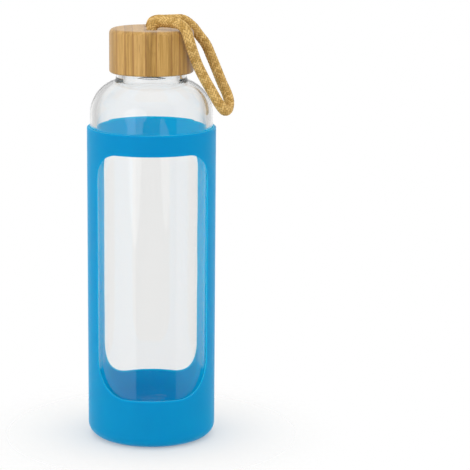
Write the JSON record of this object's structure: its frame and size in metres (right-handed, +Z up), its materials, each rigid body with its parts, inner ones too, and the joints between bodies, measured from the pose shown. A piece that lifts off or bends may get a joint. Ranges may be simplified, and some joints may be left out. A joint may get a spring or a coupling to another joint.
{
  "type": "glass water bottle",
  "caption": "Glass water bottle in a windowed silicone sleeve, with a bamboo screw lid and a braided carry cord knotted through the lid.",
  "frame": {"origin": "centre of the base, on the surface that the bottle stands on", "axes": "+Z up along the bottle, -Y out of the sleeve's front window, +X towards the side that the cord loop hangs on"},
  "size_m": [0.0778, 0.068, 0.2253],
  "materials": {
    "silicone": "matt moulded silicone, sky blue",
    "glass": "clear polished glass",
    "seal": "matt white silicone",
    "liner": "satin moulded polypropylene",
    "bamboo": "satin lacquered laminated bamboo",
    "cord": "braided round cord"
  },
  "bodies": {
    "sleeve": {"silicone_sleeve": "silicone"},
    "glass": {"glass_body": "glass"},
    "seal": {"seal_ring": "seal"},
    "lid": {"bamboo_lid": "bamboo", "lid_liner": "liner", "cord_knot_front": "cord", "cord_knot_rear": "cord", "cord_arch_front": "cord", "cord_arch_rear": "cord"},
    "loop": {"cord_loop": "cord"}
  },
  "joints": [
    {"name": "sleeve_pull", "type": "slide", "parent": "sleeve", "child": "glass", "axis": [0, 0, 1], "range_m": [0, 0.17]},
    {"name": "lid_rise", "type": "slide", "parent": "glass", "child": "seal", "axis": [0, 0, 1], "range_m": [0, 0.013]},
    {"name": "lid_turn", "type": "hinge", "parent": "seal", "child": "lid", "pos_m": [0, 0, 0.2], "axis": [0, 0, 1], "range_deg": [0, 1080]},
    {"name": "loop_lift", "type": "hinge", "parent": "lid", "child": "loop", "pos_m": [0, 0, 0.2186], "axis": [0, -1, 0], "range_deg": [0, 140], "deforming": ["cord_arch_front", "cord_arch_rear"]}
  ],
  "couplings": [
    {"joint": "lid_rise", "follows": "lid_turn", "m_per_rad": 0.0006737}
  ]
}
